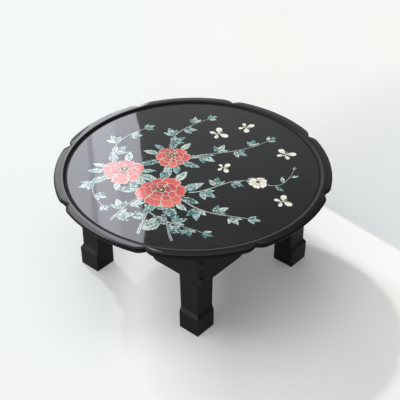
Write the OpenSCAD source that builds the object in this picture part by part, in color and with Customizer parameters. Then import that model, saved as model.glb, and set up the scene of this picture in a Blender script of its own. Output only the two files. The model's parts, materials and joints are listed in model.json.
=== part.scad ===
// Round folding tea table: a lobed lacquered top with a sunken round field and shell inlay,
// a square skirt with finger-jointed corners, and four square legs that swing in under the top.
// Origin on the floor under the centre of the top. +Z is up, the skirt boards run along X and Y.
// The front corner is at -X -Y. Each corner is the one before it, turned by 90 degrees.

/* [Top] */
// Height of the table, floor to rim
table_h = 257; // [240:1:262]
// Diameter over two opposite lobes
top_d = 600; // [590:5:680]
// Depth of the notch between two lobes
notch_d = 10; // [6:0.5:12]
// Length of rim over which a lobe turns into its notch
notch_l = 24; // [14:1:32]
// Width of the flange, from the sunken field's wall to the rim's edge
flange_w = 20.5; // [18.5:0.5:22]
// Width of the sloping wall round the field
wall_w = 7.5; // [5:0.5:9]
// Depth of the field below the flange
recess = 4; // [3:0.5:5]
// Thickness of the field panel
panel_t = 8; // [7:0.5:10]
// Thickness of the panel's tongue under the rim
tongue_t = 5; // [3:0.5:6]
// Width of the flange's flat part, as a share of its width at a notch
flat_share = 0.4; // [0.2:0.05:0.55]
// How far the flange's crown falls from its flat part to its rounded edge
crown_h = 1; // [0.5:0.25:1.5]
// Radius of the flange's rounded edge
edge_r = 3.2; // [2:0.2:4]
// Height of the small rounding under that edge
under_edge = 1.5; // [1:0.25:2]
// Gap round the panel in its seat
panel_gap = 0.2; // [0.1:0.1:0.4]
// Thickness of the ring under the rim
ring_t = 5; // [4:0.5:7]
// How far the ring stands back from the rim's edge
ring_back = 8; // [7:0.5:9]
// Width of the seat that the ring gives the panel
ring_seat = 12; // [8:1:14]

/* [Skirt] */
// Side of the square skirt
skirt_w = 364; // [360:2:368]
// Height of the skirt's lower edge above the floor
skirt_z = 142; // [136:1:150]
// Thickness of a skirt board
board_t = 10; // [9.5:0.5:12]
// Height of a square finger
square_finger = 16.5; // [12:0.5:18]
// Height of a rounded finger
round_finger = 23.5; // [18:0.5:25]
// Radius of a rounded finger's outer edge
finger_r = 9; // [5:0.5:9]
// Width of the raised middle of a board's lower edge
raise_w = 114; // [90:2:130]
// Height of the raised middle
raise_h = 14; // [8:1:18]
// Length of the curve that leads up to the raised middle
raise_l = 20; // [14:1:24]

/* [Legs] */
// Width of a leg inside the skirt
leg_w = 49; // [46.5:0.5:50]
// Width of a leg above its foot
neck_w = 46.5; // [43:0.5:47]
// Height of the foot's straight part
foot_h = 45; // [36:1:50]
// Height of the slope above the foot
slope_h = 10; // [6:1:14]
// How far the foot stands out on the two outer faces
flare = 5.2; // [3:0.2:5.4]
// How much the foot draws in towards the floor
foot_draw = 0.6; // [0:0.2:2]
// Gap between a leg and the skirt
leg_gap = 0.3; // [0.3:0.1:0.5]
// Gap round a folded foot in its pocket
pocket_gap = 0.7; // [0.5:0.1:1]
// Diameter of the foot pads
pad_d = 28; // [20:1:32]
// Thickness of the foot pads
pad_t = 2; // [1.5:0.5:3]
// How far the pads stand below the foot
pad_out = 1; // [0.5:0.1:1.2]

/* [Pivots] */
// Depth of the pivot below the panel
pivot_drop = 25; // [23:0.5:27]
// Diameter of the pivot pins
pin_d = 8; // [6:0.5:9]
// Gap round a pin in its leg
pin_gap = 0.05; // [0.02:0.01:0.1]
// Depth of a pin's hole in the skirt board
pin_in = 6; // [4:0.5:7]
// Diameter of a pin's head
head_d = 15; // [12:0.5:18]
// Height of a pin's head
head_h = 3; // [2:0.5:4]
// Thickness of the washer beside a leg
washer_t = 1; // [0.8:0.1:1.5]
// Outer diameter of that washer
washer_d = 22; // [18:0.5:26]
// Gap on each side of the washer
washer_gap = 0.2; // [0.15:0.05:0.3]
// Length of a pivot block along the skirt
block_l = 40; // [38:1:44]
// Thickness of a pivot block
block_t = 18; // [16:1:22]
// Height of wood under the pin in a pivot block
block_under = 17; // [14:1:20]

/* [Catches] */
// Thickness of a catch spring's steel
spring_t = 0.8; // [0.6:0.1:1]
// Width of a catch spring
spring_w = 14; // [12:1:18]
// Length of the spring's nose over the leg
nose_l = 16; // [12:1:18]
// Length of the spring's slope
spring_slope = 20; // [16:1:24]
// Length of the spring's fixed end
spring_fix = 26; // [24:1:30]

/* [Inner wood] */
// Length of a batten under the panel
batten_l = 226; // [180:2:230]
// Width of a batten
batten_w = 28; // [20:1:36]
// Height of a batten
batten_t = 13; // [10:1:16]
// Distance of a batten's middle from the middle of the table
batten_y = 48; // [40:1:60]
// Length of a glue block
glue_l = 26; // [20:1:30]
// Gap between a glue block and the pivot block beside it
glue_gap = 4; // [2:0.5:5]
// Leg length of a glue block's triangular section
glue_s = 16; // [12:1:18]

/* [Screws] */
// Diameter of the screws' shanks
screw_d = 3.5; // [3:0.1:4]
// Gap round a shank
screw_gap = 0.05; // [0.05:0.05:0.2]
// Diameter of the screws' heads
screw_head = 7; // [6:0.5:8]
// Height of the screws' heads
screw_head_h = 2; // [1.5:0.5:2.5]
// Depth of the screws in the panel
screw_in = 5; // [4:0.5:5.5]

/* [Inlay] */
// Thickness of the shell inlay
inlay_t = 0.3; // [0.2:0.1:0.5]
// Width of a stem at its root
stem_w = 3; // [2:0.2:4]
// Gap between two pieces of shell
shell_gap = 0.7; // [0.5:0.1:1]
// Turn of the picture about the middle of the table
art_turn = -48; // [-180:1:180]

/* [Hidden] */
half = skirt_w / 2;
rim_z = table_h;
field_z = rim_z - recess;
under_z = field_z - panel_t;
tongue_z = under_z + tongue_t;
under_w = 0.7 * (flange_w - notch_d);
flat_w = flat_share * (flange_w - notch_d);
wall_r = top_d / 2 - flange_w;
field_r = wall_r - wall_w;
// The lists of the inlaid picture are drawn for a field of this radius
ART_R = 272;
art_scale = field_r / ART_R;
panel_r = wall_r - panel_gap;
ring_in = panel_r - ring_seat;
skirt_h = under_z - skirt_z;
board_in = half - board_t;
leg_face = board_in - leg_gap;
leg_back = leg_face - leg_w;
shoulder_z = skirt_z - leg_gap;
foot_z = pad_out;
pivot_z = under_z - pivot_drop;
leg_in = half - leg_w;
pivot_x = (leg_face + leg_in) / 2;
top_r = (leg_face - leg_in) / 2;
bore_r = pin_d / 2 + pin_gap;
block_y = leg_back - 2 * washer_gap - washer_t;
pocket_y = leg_face + flare + pocket_gap;
fold_tip = pivot_z - pivot_x;
pocket_x1 = fold_tip + 3;
pocket_x0 = pivot_z - foot_h - slope_h - pivot_x - (half - pivot_x) - flare;
spring_z = pivot_z + top_r + leg_gap;
CORNERS = ["front", "right", "back", "left"];
LACQUER = [0.02, 0.02, 0.022];
CORAL = [0.80, 0.17, 0.15];
PEARL = [0.30, 0.52, 0.52];
CREAM = [0.90, 0.88, 0.76];
STEEL = [0.62, 0.63, 0.64];
BRASS = [0.72, 0.55, 0.26];
LOBES = 8;
LOBE_STEPS = 14;
EPS = 0.01;

// Rim outline: an arc about the middle of the table, drawn in to a notch between two lobes.
// s is the length of rim from the nearest notch.
function rim_r(s) = top_d / 2 - notch_d * pow(max(0, 1 - s / notch_l), 2);
// Angles within one lobe, closer together near its two notches
function lobe_angle(i) = 360 / LOBES * (0.5 - 0.5 * cos(180 * i / LOBE_STEPS));
function notch_len(a) = PI * top_d / 360 * min(a, 360 / LOBES - a);
RIM = [for (k = [0 : LOBES - 1], i = [0 : LOBE_STEPS - 1])
    [360 / LOBES * (k + 0.5) + lobe_angle(i), rim_r(notch_len(lobe_angle(i)))]];

// The rim's round inner faces are drawn with flats, so their corners stand out by this share
FLATS = 1 / cos(180 / LOBES * sin(90 / LOBE_STEPS));

// Section of the rim at one angle: the wall, the flange with its flat band and its crown, the
// rounded edge, the cove under the lip and the panel's seat. Each point is [radius, height].
// The flat band is round, and the crown runs from there to the lobed edge.
function rim_section(r) = let (flat_r = wall_r * FLATS + flat_w, crown_w = r - edge_r - flat_r,
    edge_z = rim_z - crown_h, lip_z = edge_z - edge_r, cove_z = lip_z - under_edge)
    concat(
    [for (i = [0 : 4]) [field_r * FLATS + wall_w * sin(22.5 * i), field_z + recess * (1 - cos(22.5 * i))]],
    [for (i = [0 : 3]) [flat_r + crown_w * i / 3, rim_z - crown_h * pow(i / 3, 2)]],
    [for (i = [1 : 4]) [r - edge_r * (1 - sin(22.5 * i)), edge_z - edge_r * (1 - cos(22.5 * i))]],
    [for (i = [1 : 2]) [r - under_edge * (1 - cos(45 * i)), lip_z - under_edge * sin(45 * i)]],
    [for (i = [1 : 3]) [r - under_edge - (under_w - under_edge) * sin(30 * i),
        cove_z - (cove_z - under_z) * (1 - cos(30 * i))]],
    [[wall_r * FLATS, under_z], [wall_r * FLATS, tongue_z], [field_r * FLATS, tongue_z]]);

module at_corner(k) {
    rotate([0, 0, 90 * k]) children();
}

module screw(z, depth) {
    translate([0, 0, z - screw_head_h])
        cylinder(d1 = screw_head - 2, d2 = screw_head, h = screw_head_h, $fn = 32);
    translate([0, 0, z]) cylinder(d = screw_d, h = depth, $fn = 32);
}

module screw_hole(z, depth) {
    translate([0, 0, z - EPS]) cylinder(d = screw_d + 2 * screw_gap, h = depth + EPS, $fn = 32);
}

// Places of the screws, with the front corner's set turned to all four
module block_screw_places() {
    for (k = [0 : 3], x = [-1, 1])
        at_corner(k) translate([-board_in + block_l / 2 + x * block_l / 3, -block_y + block_t / 2, 0])
            children();
}

module spring_screw_places() {
    for (k = [0 : 3], x = [0.3, 0.75])
        at_corner(k)
            translate([-pivot_x + nose_l / 2 + spring_slope + x * spring_fix, -leg_back - leg_w / 2, 0])
                children();
}

module batten_screw_places() {
    for (x = [-1, 1], y = [-1, 1])
        translate([x * batten_l * 0.4, y * batten_y, 0]) children();
}

// Top
module field_panel() {
    color(LACQUER) difference() {
        union() {
            translate([0, 0, under_z]) cylinder(r = panel_r, h = tongue_t, $fn = 160);
            translate([0, 0, under_z]) cylinder(r = field_r - panel_gap, h = panel_t, $fn = 160);
        }
        block_screw_places() screw_hole(under_z, screw_in);
        spring_screw_places() screw_hole(under_z, screw_in);
        batten_screw_places() screw_hole(under_z, screw_in);
        inlay_layer(inlay_t + EPS) {
            petal_shapes();
            inner_petal_shapes();
            heart_shapes();
            leaf_shapes();
            stem_shapes();
            moth_shapes();
            plum_shapes();
        }
    }
}

module rim_molding() {
    rows = len(RIM);
    cols = len(rim_section(top_d / 2));
    points = [for (p = RIM, q = rim_section(p[1])) [q[0] * cos(p[0]), q[0] * sin(p[0]), q[1]]];
    faces = [for (i = [0 : rows - 1], j = [0 : cols - 1], side = [0, 1])
        let (a = i * cols + j, b = i * cols + (j + 1) % cols,
            c = (i + 1) % rows * cols + j, d = (i + 1) % rows * cols + (j + 1) % cols)
        side == 0 ? [a, b, d] : [a, d, c]];
    color(LACQUER) polyhedron(points = points, faces = faces, convexity = 6);
}

module under_ring() {
    color(LACQUER) translate([0, 0, under_z - ring_t]) difference() {
        linear_extrude(ring_t) polygon([for (p = RIM) (p[1] - ring_back) * [cos(p[0]), sin(p[0])]]);
        translate([0, 0, -EPS]) cylinder(r = ring_in, h = ring_t + 2 * EPS, $fn = 160);
    }
}

module batten(side) {
    color(LACQUER) difference() {
        translate([-batten_l / 2, side * batten_y - batten_w / 2, under_z - batten_t])
            cube([batten_l, batten_w, batten_t]);
        batten_screw_places() screw_hole(under_z - batten_t, batten_t + 1);
    }
}

// Skirt
// Heights of the finger bands above the lower edge: square fingers at the bottom, middle and top
function square_bands() = [[-1, square_finger],
    [square_finger + round_finger, 2 * square_finger + round_finger],
    [2 * (square_finger + round_finger), skirt_h + 1]];
function round_bands() = [[square_finger, square_finger + round_finger],
    [2 * square_finger + round_finger, 2 * (square_finger + round_finger)]];

module finger_slots(bands) {
    for (b = bands)
        translate([-half - 1, -half - 1, skirt_z + b[0]]) cube([board_t + 1, board_t + 2, b[1] - b[0]]);
}

// Lower edge of a board: flat near the corners, with an S-curve up to the raised middle
module board_outline() {
    curve = [for (i = [0 : 10]) [raise_w / 2 - raise_l * i / 10, raise_h * (0.5 - 0.5 * cos(18 * i))]];
    mirrored = [for (i = [10 : -1 : 0]) [-curve[i][0], curve[i][1]]];
    polygon(concat([[-half, 0], [-half, skirt_h], [half, skirt_h], [half, 0]], curve, mirrored));
}

module apron(k) {
    color(LACQUER) at_corner(k) difference() {
        translate([0, -half + board_t, skirt_z]) rotate([90, 0, 0]) linear_extrude(board_t) board_outline();
        finger_slots(square_bands());
        at_corner(1) finger_slots(round_bands());
        translate([-half, -half, skirt_z - 1]) difference() {
            translate([-1, -1, 0]) cube([finger_r + 1, finger_r + 1, skirt_h + 2]);
            translate([finger_r, finger_r, -1]) cylinder(r = finger_r, h = skirt_h + 4, $fn = 64);
        }
        translate([pocket_x0, -pocket_y, skirt_z - 1])
            cube([pocket_x1 - pocket_x0, board_t, pivot_z + top_r + pocket_gap - skirt_z + 1]);
        translate([-pivot_x, -board_in + EPS, pivot_z]) rotate([90, 0, 0])
            cylinder(r = bore_r, h = pin_in + EPS, $fn = 48);
    }
}

// Legs
// Outline of a leg seen along Y: the outer face on the left, the shoulder under the skirt,
// and a half-round top about the pivot
module leg_side() {
    top = [for (i = [0 : 24]) [-pivot_x - top_r * cos(7.5 * i), pivot_z + top_r * sin(7.5 * i)]];
    polygon(concat([[-half - flare + foot_draw, foot_z], [-half - flare, foot_z + foot_h],
        [-half, foot_z + foot_h + slope_h], [-half, shoulder_z], [-leg_face, shoulder_z]], top,
        [[-leg_in, shoulder_z], [-half + neck_w, foot_z + foot_h + slope_h], [-half + neck_w, foot_z]]));
}

// Outline of a leg seen along X: it stands back behind the board of the other side
module leg_front_view() {
    polygon([[-leg_face - flare + foot_draw, foot_z], [-leg_face - flare, foot_z + foot_h],
        [-leg_face, foot_z + foot_h + slope_h], [-leg_face, rim_z], [-leg_back, rim_z],
        [-leg_back, shoulder_z], [-leg_face + neck_w, foot_z + foot_h + slope_h],
        [-leg_face + neck_w, foot_z]]);
}

module pad_place() {
    translate([-half + (neck_w - flare) / 2, -leg_face + (neck_w - flare) / 2, 0]) children();
}

module leg(k) {
    color(LACQUER) at_corner(k) difference() {
        intersection() {
            rotate([90, 0, 0]) linear_extrude(skirt_w) leg_side();
            rotate([90, 0, 90]) translate([0, 0, -skirt_w]) linear_extrude(skirt_w) leg_front_view();
        }
        translate([-pivot_x, 0, pivot_z]) rotate([90, 0, 0]) cylinder(r = bore_r, h = half, $fn = 48);
        pad_place() cylinder(d = pad_d, h = pad_t, $fn = 64);
    }
}

module foot_pad(k) {
    color([0.09, 0.09, 0.09]) at_corner(k) pad_place() cylinder(d = pad_d, h = pad_t, $fn = 64);
}

// Pivots
module pivot_block(k) {
    color([0.09, 0.07, 0.06]) difference() {
        at_corner(k) difference() {
            translate([-board_in, -block_y, pivot_z - block_under])
                cube([block_l, block_t, under_z - pivot_z + block_under]);
            translate([-pivot_x, 0, pivot_z]) rotate([90, 0, 0]) cylinder(r = bore_r, h = half, $fn = 48);
        }
        block_screw_places() screw_hole(pivot_z - block_under, block_under + pivot_drop + 1);
    }
}

module pivot_pin(k) {
    color(STEEL) at_corner(k) translate([-pivot_x, 0, pivot_z]) {
        translate([0, -block_y + block_t, 0]) rotate([90, 0, 0])
            cylinder(d = pin_d, h = board_in + pin_in - 0.5 - block_y + block_t, $fn = 48);
        translate([0, -block_y + block_t, 0]) rotate([-90, 0, 0])
            cylinder(d1 = head_d, d2 = head_d - 2, h = head_h, $fn = 48);
    }
}

module pivot_washer(k) {
    color(BRASS) at_corner(k) translate([-pivot_x, -leg_back + washer_gap + washer_t, pivot_z])
        rotate([90, 0, 0]) difference() {
            cylinder(d = washer_d, h = washer_t, $fn = 64);
            translate([0, 0, -1]) cylinder(r = bore_r, h = washer_t + 2, $fn = 48);
        }
}

// Catches
module catch_spring(k) {
    nose = -nose_l / 2;
    bend = nose_l / 2;
    fix = bend + spring_slope;
    color(STEEL) difference() {
        at_corner(k) translate([-pivot_x, -leg_back - leg_w / 2 + spring_w / 2, 0]) rotate([90, 0, 0])
            linear_extrude(spring_w) polygon([[nose, spring_z], [bend, spring_z], [fix, under_z - spring_t],
                [fix + spring_fix, under_z - spring_t], [fix + spring_fix, under_z], [fix, under_z],
                [bend, spring_z + spring_t], [nose, spring_z + spring_t]]);
        spring_screw_places() screw_hole(under_z - spring_t - 1, spring_t + 2);
    }
}

// Inner wood and screws
module glue_block(k) {
    color([0.09, 0.07, 0.06]) at_corner(k)
        translate([block_y - block_t - glue_gap - glue_l, -board_in, under_z])
        rotate([90, 0, 90]) linear_extrude(glue_l)
            polygon([[0, 0], [glue_s, 0], [glue_s, -2], [2, -glue_s], [0, -glue_s]]);
}

module spring_screws() {
    color(STEEL) spring_screw_places() screw(under_z - spring_t, spring_t + screw_in - 0.5);
}

module block_screws() {
    color(STEEL) block_screw_places()
        screw(pivot_z - block_under, block_under + pivot_drop + screw_in - 0.5);
}

module batten_screws() {
    color(STEEL) batten_screw_places() screw(under_z - batten_t, batten_t + screw_in - 0.5);
}

// Inlay picture: places are in the picture's own plane, X to the viewer's right and Y away.
// A blossom is [x, y, radius, turn, direction in which its heart leans].
BLOSSOMS = [[-66, -84, 58, 10, 100], [-152, -4, 49, 35, 70], [-46, 48, 42, 0, 95]];
PLUM = [138, -52, 22, 15, 90];
// A ring of petals: [inner radius, outer radius, count, turn], radii as shares of the blossom's
OUTER_RING = [0.55, 1.00, 8, 0];
MIDDLE_RING = [0.30, 0.67, 7, 20];
INNER_RING = [0.17, 0.42, 5, 8];
PLUM_RING = [0.22, 1.0, 6, 0];
// Leaves that stand out behind a blossom: count, first angle, length
COLLARS = [[11, 15, 44], [10, 40, 40], [9, 5, 36]];
// A stem is four control points of a smooth curve, with fans of leaves along it: number of
// fans before the last, length of the first leaf, leaves in a fan, share of the stem's width
STEMS = [
    [[[-170, -176], [-152, -150], [-140, -120], [-118, -104]], 3, 44, 3, 1.9],
    [[[-112, -222], [-108, -192], [-100, -176], [-92, -140]], 2, 42, 3, 2.2],
    [[[-44, -246], [-56, -208], [-52, -178], [-64, -142]], 2, 40, 3, 1.8],
    [[[-92, -150], [-60, -190], [-24, -196], [18, -222]], 3, 42, 3, 1.4],
    [[[-16, -118], [24, -166], [66, -162], [112, -178]], 3, 44, 3, 1.2],
    [[[-10, -84], [40, -84], [66, -36], [116, -44]], 3, 42, 3, 1.2],
    [[[-6, 50], [46, 66], [110, 60], [172, 112]], 4, 42, 3, 1.3],
    [[[-48, 90], [-56, 132], [-18, 176], [40, 206]], 4, 40, 3, 1.1],
    [[[-172, 42], [-190, 92], [-158, 140], [-106, 168]], 3, 42, 3, 1.1],
    [[[-200, -22], [-222, -58], [-214, -92], [-188, -128]], 2, 38, 3, 1.0],
    [[[158, -60], [188, -74], [206, -40], [218, -6]], 3, 26, 1, 0.8]];
// A butterfly is [x, y, span, turn]
MOTHS = [[58, 142, 44, 25], [122, 168, 38, -30], [204, 54, 42, 60], [66, 6, 34, -10], [184, -120, 40, 20]];

function bezier(p, t) = pow(1 - t, 3) * p[0] + 3 * pow(1 - t, 2) * t * p[1]
    + 3 * (1 - t) * t * t * p[2] + pow(t, 3) * p[3];
function bezier_dir(p, t) = let (d = bezier(p, t + 0.01) - bezier(p, t - 0.01)) atan2(d[1], d[0]);

// The shell lies in pockets of the panel, level with the field
module inlay_layer(height) {
    translate([0, 0, field_z - inlay_t]) rotate([0, 0, art_turn]) scale([art_scale, art_scale, 1])
        linear_extrude(height) children();
}

module inlay(shade) {
    color(shade) inlay_layer(inlay_t) children();
}

// A point of a blossom from its share of the radius and its angle: the rings lean to one side
// and are not quite round, so no two petals are alike
function warp(b, share, a) = let (turn = a + 11 * sin(2 * a + b[0]),
    r = b[2] * share * (0.93 + 0.07 * sin(3 * a + b[1])))
    [b[0], b[1]] + r * [cos(turn), sin(turn)] + 0.22 * b[2] * (1 - share) * [cos(b[4]), sin(b[4])];
function heart(b) = [b[0], b[1]] + 0.19 * b[2] * [cos(b[4]), sin(b[4])];
// A petal's outer edge has three low lobes
function petal_edge(u) = 1 - 0.14 * pow(u, 4) - 0.032 * (1 - cos(540 * u));
function outer_edge(b, ring, i, gap, grow) = let (mid = b[3] + ring[3] + 360 * i / ring[2],
    side = 180 / ring[2] - 35 * gap / (ring[1] * b[2]))
    [for (j = [-6 : 6]) warp(b, ring[1] * petal_edge(j / 6) + grow / b[2], mid + side * j / 6)];
function inner_edge(b, ring, i) = let (mid = b[3] + ring[3] + 360 * i / ring[2],
    side = 180 / ring[2] - 35 * shell_gap / (ring[0] * b[2]))
    [for (j = [2 : -1 : -2]) warp(b, ring[0], mid + side * j / 2)];

module petal_ring(b, ring) {
    for (i = [1 : ring[2]]) polygon(concat(outer_edge(b, ring, i, shell_gap, 0), inner_edge(b, ring, i)));
}

// Ground that a ring of petals covers, with the gap round it
module ring_ground(b, ring) {
    polygon([for (i = [1 : ring[2]]) each outer_edge(b, ring, i, 0, shell_gap)]);
}

module petal_shapes() {
    for (b = BLOSSOMS) {
        difference() {
            petal_ring(b, OUTER_RING);
            ring_ground(b, MIDDLE_RING);
        }
        difference() {
            petal_ring(b, MIDDLE_RING);
            ring_ground(b, INNER_RING);
        }
    }
}

module inner_petal_shapes() {
    for (b = BLOSSOMS) petal_ring(b, INNER_RING);
}

module heart_shapes() {
    for (b = concat(BLOSSOMS, [PLUM])) translate(heart(b)) {
        circle(r = 0.045 * b[2], $fn = 24);
        for (i = [1 : 7]) rotate(b[3] + 360 * i / 7) translate([0.085 * b[2], 0])
            circle(r = 0.018 * b[2], $fn = 16);
    }
}

module plum_shapes() {
    petal_ring(PLUM, PLUM_RING);
}

// Leaf along +X from its stalk: two mirrored bows with a light saw edge
module leaf(l) {
    edge = [for (i = [0 : 9]) [l * i / 9,
        0.215 * l * sin(180 * pow(i / 9, 0.8)) + (i % 2 == 1 && i < 9 ? 0.016 * l : 0)]];
    polygon(concat(edge, [for (i = [8 : -1 : 1]) [edge[i][0], -edge[i][1]]]));
}

module stem(s, grow) {
    path = [for (i = [0 : 16]) [bezier(s[0], i / 16), bezier_dir(s[0], i / 16) + 90,
        s[4] * stem_w * (1 - 0.6 * i / 16) / 2 + grow]];
    polygon(concat([for (q = path) q[0] + q[2] * [cos(q[1]), sin(q[1])]],
        [for (i = [16 : -1 : 0]) path[i][0] - path[i][2] * [cos(path[i][1]), sin(path[i][1])]]));
}

module blossom_grounds() {
    for (b = BLOSSOMS) ring_ground(b, OUTER_RING);
    ring_ground(PLUM, PLUM_RING);
}

module all_leaves() {
    for (s = STEMS, i = [0 : s[1]]) {
        t = min((i + 0.6) / (s[1] + 0.6), 0.97);
        side = i == s[1] ? 0 : i % 2 * 2 - 1;
        translate(bezier(s[0], t)) rotate(bezier_dir(s[0], t) + side * 50) translate([stem_w, 0])
            for (j = [0 : s[3] - 1]) rotate(40 * [0, 1, -1][j])
                leaf(s[2] * (1 - 0.4 * t) * (j == 0 ? 1 : 0.78));
    }
    for (j = [0 : len(BLOSSOMS) - 1], i = [1 : COLLARS[j][0]]) let (a = COLLARS[j][1] + 360 * i / COLLARS[j][0])
        translate(warp(BLOSSOMS[j], 0.86, a)) rotate(a + 14 * sin(140 * i))
            leaf(COLLARS[j][2] * (1 + 0.2 * (i % 3 - 1)));
}

module leaf_shapes() {
    difference() {
        all_leaves();
        for (s = STEMS) stem(s, shell_gap);
        blossom_grounds();
    }
}

module stem_shapes() {
    difference() {
        for (s = STEMS) stem(s, 0);
        blossom_grounds();
    }
}

// Wing that fans out from its root: root on the body, middle direction, half its fan, length
module wing(root, dir, fan, l) {
    translate(root) polygon(concat([[0, 0]],
        [for (i = [-5 : 5]) l * pow(cos(15 * i), 0.45) * [cos(dir + fan * i / 6), sin(dir + fan * i / 6)]]));
}

// Butterfly with its head along +X
module moth(span) {
    for (m = [0, 1]) mirror([0, m]) {
        wing([0.05, 0.045] * span, 58, 38, 0.52 * span);
        wing([-0.06, 0.045] * span, 130, 34, 0.38 * span);
    }
    polygon([for (i = [0 : 9]) span * [0.22 * cos(36 * i), 0.026 * sin(36 * i)]]);
}

module moth_shapes() {
    for (m = MOTHS) translate([m[0], m[1]]) rotate(m[3]) moth(m[2]);
}

module inlay_petals() {
    inlay(CORAL) petal_shapes();
}

module inlay_inner_petals() {
    inlay([0.62, 0.08, 0.09]) inner_petal_shapes();
}

module inlay_hearts() {
    inlay([0.86, 0.66, 0.30]) heart_shapes();
}

module inlay_leaves() {
    inlay(PEARL) leaf_shapes();
}

module inlay_stems() {
    inlay([0.42, 0.58, 0.46]) stem_shapes();
}

module inlay_wings() {
    inlay(CREAM) moth_shapes();
}

module inlay_plum() {
    inlay(CREAM) plum_shapes();
}

field_panel();
rim_molding();
under_ring();
batten(-1);  // batten_near
batten(1);  // batten_far
for (k = [0 : 3]) {
    apron(k);
    leg(k);
    foot_pad(k);
    pivot_block(k);
    pivot_pin(k);
    pivot_washer(k);
    catch_spring(k);
    glue_block(k);
}
spring_screws();
block_screws();
batten_screws();
inlay_petals();
inlay_inner_petals();
inlay_hearts();
inlay_leaves();
inlay_stems();
inlay_wings();
inlay_plum();
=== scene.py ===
"""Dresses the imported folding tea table: black lacquer, shell inlay, felt, steel and brass."""
import json
from math import atan2, cos, degrees, pi, radians, sin
import bmesh
import bpy
from mathutils import Matrix, Vector
from mathutils.geometry import delaunay_2d_cdt

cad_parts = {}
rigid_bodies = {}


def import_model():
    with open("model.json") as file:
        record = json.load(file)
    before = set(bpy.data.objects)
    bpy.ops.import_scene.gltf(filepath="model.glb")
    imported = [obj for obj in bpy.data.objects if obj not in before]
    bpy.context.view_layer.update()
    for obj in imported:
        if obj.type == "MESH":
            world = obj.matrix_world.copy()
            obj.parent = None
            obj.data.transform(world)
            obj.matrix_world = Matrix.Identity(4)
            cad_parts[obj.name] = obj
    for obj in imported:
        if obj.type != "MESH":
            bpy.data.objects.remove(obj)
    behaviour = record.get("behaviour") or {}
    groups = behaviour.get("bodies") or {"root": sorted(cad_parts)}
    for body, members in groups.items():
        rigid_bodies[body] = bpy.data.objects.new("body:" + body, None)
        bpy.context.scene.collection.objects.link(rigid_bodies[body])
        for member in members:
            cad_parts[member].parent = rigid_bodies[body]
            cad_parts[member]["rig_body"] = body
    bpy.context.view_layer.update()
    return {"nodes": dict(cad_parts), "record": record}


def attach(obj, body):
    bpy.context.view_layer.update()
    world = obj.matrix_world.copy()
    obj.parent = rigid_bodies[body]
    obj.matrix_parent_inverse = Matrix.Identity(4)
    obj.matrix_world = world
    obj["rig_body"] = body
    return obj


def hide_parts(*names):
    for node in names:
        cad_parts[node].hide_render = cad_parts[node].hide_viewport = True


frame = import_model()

MM = 0.001
CORNERS = ("front", "right", "back", "left")

# Sizes in millimetres, as in the solids
RIM_Z, FIELD_Z, TONGUE_Z, UNDER_Z = 257.0, 253.0, 250.0, 245.0
TOP_R, NOTCH_D, NOTCH_L, LOBES = 300.0, 10.0, 24.0, 8
WALL_R, FIELD_R, WALL_W, RECESS = 279.5, 272.0, 7.5, 4.0
FLAT_W, CROWN_H, EDGE_R, UNDER_EDGE, UNDER_W = 4.2, 1.0, 3.2, 1.5, 7.35
RING_T, RING_BACK, RING_IN = 5.0, 8.0, 267.3
RING_EDGE, PANEL_GAP = 2.2, 0.2
INLAY_T, INLAY_RISE = 0.3, 0.02
ART_TURN = radians(-48)
RIM_STEPS, PANEL_STEPS = 44, 192

# The photograph's camera, before its turn about the table, and the turn in degrees
CAMERA_PLACE, CAMERA_AIM = (0, -1.855, 1.540), (0.00637, 0.80458, -0.59381)
CAMERA_ROLL, CAMERA_LENS, CAMERA_WIDTH = 0.19, 93.8, 36.0
VIEW_TURN = 48.2
# The photograph's left, right and away, in the part's frame
VIEW = Matrix.Rotation(radians(-VIEW_TURN), 4, "Z")


def sd(a):
    """Sine of degrees."""
    return sin(radians(a))


def cd(a):
    """Cosine of degrees."""
    return cos(radians(a))


def add_object(name, data):
    """A new object in the scene."""
    thing = bpy.data.objects.new(name, data)
    bpy.context.scene.collection.objects.link(thing)
    return thing


def add_camera():
    """The photograph's camera, fitted to the rim, the field and the feet."""
    turn = Matrix.Rotation(radians(-VIEW_TURN), 3, "Z")
    forward = (turn @ Vector(CAMERA_AIM)).normalized()
    right = forward.cross(Vector((0, 0, 1))).normalized()
    up = right.cross(forward)
    roll = Matrix.Rotation(radians(CAMERA_ROLL), 3, forward)
    axes = Matrix((roll @ right, roll @ up, -forward)).transposed()
    data = bpy.data.cameras.new("camera")
    data.lens, data.sensor_width = CAMERA_LENS, CAMERA_WIDTH
    camera = add_object("camera", data)
    camera.matrix_world = Matrix.Translation(turn @ Vector(CAMERA_PLACE)) @ axes.to_4x4()
    bpy.context.scene.camera = camera


add_camera()

# Patterns in the materials, in waves per metre
CLOUDS, RUBBING, FINE_RUBBING, SLOW_WAVES = 9.0, 38.0, 900.0, 16.0
SLIPS, DRIFT, FIBRES = 260.0, 60.0, 160.0
FUZZ, SPOTS, FLOOR_CLOUDS, CURTAIN_DRIFT = 1400.0, 70.0, 1.2, 4.0
# Wood grain, brushing and the shell's fibres have a factor of their own along X, Y and Z
GRAIN, GRAIN_SCALE = (6.0, 6.0, 220.0), 5.0
BRUSHED, BRUSHED_SCALE = (40.0, 900.0, 900.0), 1.5
FIBRE_STRETCH = (1.0, 5.0, 1.0)
BUMP_HEIGHT = 0.001


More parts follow.
